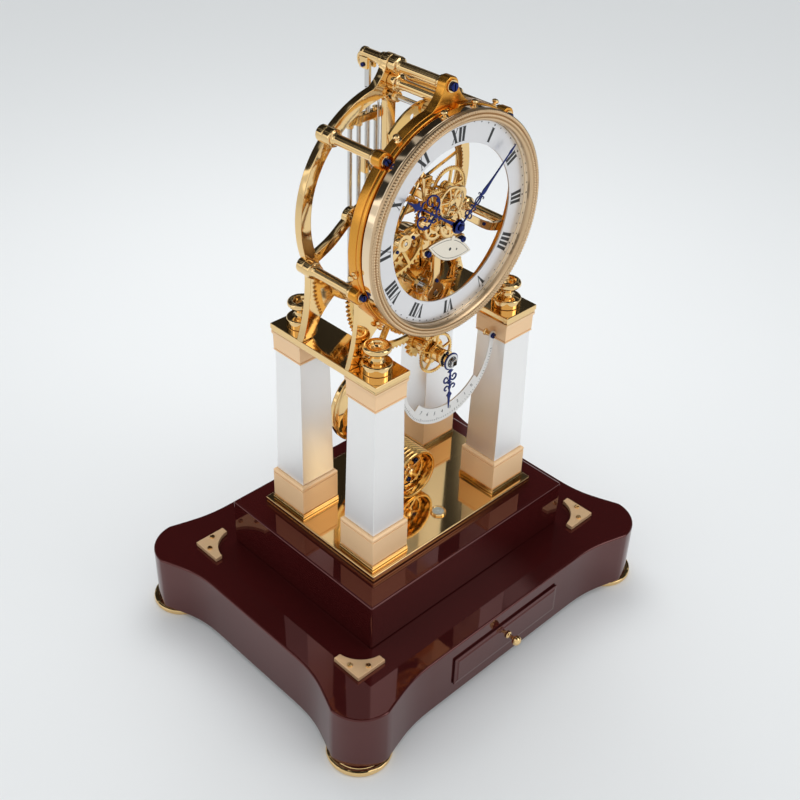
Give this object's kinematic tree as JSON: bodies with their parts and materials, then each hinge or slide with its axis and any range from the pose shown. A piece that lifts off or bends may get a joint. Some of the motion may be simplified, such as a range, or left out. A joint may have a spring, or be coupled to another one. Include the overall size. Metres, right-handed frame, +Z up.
{
  "type": "skeleton clock",
  "caption": "Skeleton mantel clock: open dial and going train between two ring frames on four square columns, gridiron pendulum behind, two-step lacquered base with a drawer.",
  "frame": {"origin": "on the floor, at the centre of the bounding box", "axes": "+X to the viewer's right, +Y from the dial to the back, +Z up"},
  "size_m": [0.4586, 0.3714, 0.6223],
  "materials": {
    "lacquer": "burgundy gloss lacquer on wood",
    "gold_polished": "mirror-polished gold plate",
    "gold_satin": "fine satin gold plate",
    "silver_satin": "satin silver plate",
    "blued_steel": "heat-blued polished steel",
    "dial_silver": "silvered matt with black numerals",
    "steel": "polished steel"
  },
  "bodies": {
    "clock_frame": {"base_lower_tier": "lacquer", "base_upper_tier": "lacquer", "base_plate": "gold_polished", "entablature_left": "gold_polished", "entablature_right": "gold_polished", "suspension_cock": "gold_polished", "dial_rim": "gold_polished", "foot_front_left": "gold_polished", "bracket_front_left": "gold_polished", "column_base_front_left": "gold_satin", "column_capital_front_left": "gold_satin", "nut_front_left": "gold_satin", "column_shaft_front_left": "silver_satin", "foot_front_right": "gold_polished", "bracket_front_right": "gold_polished", "column_base_front_right": "gold_satin", "column_capital_front_right": "gold_satin", "nut_front_right": "gold_satin", "column_shaft_front_right": "silver_satin", "foot_back_left": "gold_polished", "bracket_back_left": "gold_polished", "column_base_back_left": "gold_satin", "column_capital_back_left": "gold_satin", "nut_back_left": "gold_satin", "column_shaft_back_left": "silver_satin", "foot_back_right": "gold_polished", "bracket_back_right": "gold_polished", "column_base_back_right": "gold_satin", "column_capital_back_right": "gold_satin", "nut_back_right": "gold_satin", "column_shaft_back_right": "silver_satin", "pillar_top": "gold_polished", "pillar_upper_left": "gold_polished", "pillar_upper_right": "gold_polished", "pillar_lower_left": "gold_polished", "pillar_lower_right": "gold_polished", "front_frame": "gold_satin", "back_frame": "gold_satin", "bezel": "gold_satin", "ribbed_drum": "gold_satin", "chapter_ring": "dial_silver", "cock_plate": "dial_silver", "reserve_scale": "dial_silver"},
    "drawer": {"drawer": "lacquer", "drawer_knob": "gold_polished"},
    "minute_hand": {"minute_hand": "blued_steel", "center_arbor": "gold_polished"},
    "hour_hand": {"hour_hand": "blued_steel"},
    "motion_wheel": {"motion_wheel": "gold_polished"},
    "intermediate_wheel": {"intermediate_arbor": "gold_polished"},
    "third_wheel": {"third_arbor": "gold_polished"},
    "escape_wheel": {"escape_arbor": "gold_polished"},
    "great_wheel": {"great_wheel": "gold_polished"},
    "winding_arbor": {"winding_arbor": "gold_polished"},
    "barrel_arbor": {"barrel_arbor": "steel"},
    "reserve_hand": {"reserve_hand": "blued_steel"},
    "anchor": {"anchor": "steel"},
    "pendulum": {"pendulum_rods": "gold_satin", "pendulum_bob": "gold_polished"},
    "rating_nut": {"rating_nut": "gold_polished"}
  },
  "joints": [
    {"name": "drawer_slide", "type": "slide", "parent": "clock_frame", "child": "drawer", "axis": [0, -1, 0], "range_m": [0, 0.12]},
    {"name": "minute_hand_turn", "type": "hinge", "parent": "clock_frame", "child": "minute_hand", "pos_m": [0, -0.05745, 0.4873], "axis": [0, 1, 0], "continuous": true},
    {"name": "hour_hand_turn", "type": "hinge", "parent": "clock_frame", "child": "hour_hand", "pos_m": [0, -0.05245, 0.4873], "axis": [0, 1, 0], "continuous": true},
    {"name": "motion_wheel_turn", "type": "hinge", "parent": "clock_frame", "child": "motion_wheel", "pos_m": [-0.0178, -0.04745, 0.4885], "axis": [0, 1, 0], "continuous": true},
    {"name": "intermediate_wheel_turn", "type": "hinge", "parent": "clock_frame", "child": "intermediate_wheel", "pos_m": [-0.046, -0.02745, 0.4773], "axis": [0, 1, 0], "continuous": true},
    {"name": "third_wheel_turn", "type": "hinge", "parent": "clock_frame", "child": "third_wheel", "pos_m": [0.024, -0.02545, 0.5033], "axis": [0, 1, 0], "continuous": true},
    {"name": "escape_wheel_turn", "type": "hinge", "parent": "clock_frame", "child": "escape_wheel", "pos_m": [0, -0.01045, 0.5153], "axis": [0, 1, 0], "continuous": true},
    {"name": "great_wheel_turn", "type": "hinge", "parent": "clock_frame", "child": "great_wheel", "pos_m": [0, 0.00455, 0.4073], "axis": [0, 1, 0], "continuous": true},
    {"name": "winding_turn", "type": "hinge", "parent": "clock_frame", "child": "winding_arbor", "pos_m": [0, -0.03745, 0.3413], "axis": [0, 1, 0], "range_deg": [-540, 540]},
    {"name": "barrel_arbor_turn", "type": "hinge", "parent": "clock_frame", "child": "barrel_arbor", "pos_m": [0, -0.00745, 0.4073], "axis": [0, 1, 0], "range_deg": [-150, 150]},
    {"name": "reserve_hand_turn", "type": "hinge", "parent": "clock_frame", "child": "reserve_hand", "pos_m": [0, -0.06145, 0.3413], "axis": [0, 1, 0], "range_deg": [-75, 75]},
    {"name": "pendulum_swing", "type": "hinge", "parent": "clock_frame", "child": "pendulum", "pos_m": [0, 0.06155, 0.6078], "axis": [0, 1, 0], "range_deg": [-2, 2]},
    {"name": "crutch_swing", "type": "hinge", "parent": "clock_frame", "child": "anchor", "pos_m": [0, 0.01255, 0.585], "axis": [0, 1, 0], "range_deg": [-2.59, 2.59]},
    {"name": "rating_nut_turn", "type": "hinge", "parent": "pendulum", "child": "rating_nut", "pos_m": [0, 0.06155, 0.1748], "axis": [0, 0, 1], "range_deg": [-720, 720]}
  ],
  "couplings": [
    {"joint": "hour_hand_turn", "follows": "minute_hand_turn", "ratio": 0.083333},
    {"joint": "motion_wheel_turn", "follows": "minute_hand_turn", "ratio": -0.33333},
    {"joint": "intermediate_wheel_turn", "follows": "minute_hand_turn", "ratio": -0.16667},
    {"joint": "great_wheel_turn", "follows": "minute_hand_turn", "ratio": 0.015625},
    {"joint": "third_wheel_turn", "follows": "minute_hand_turn", "ratio": -6},
    {"joint": "escape_wheel_turn", "follows": "minute_hand_turn", "ratio": 30},
    {"joint": "barrel_arbor_turn", "follows": "winding_turn", "ratio": -0.27778},
    {"joint": "reserve_hand_turn", "follows": "winding_turn", "ratio": 0.13889},
    {"joint": "crutch_swing", "follows": "pendulum_swing", "ratio": 1.2934}
  ]
}
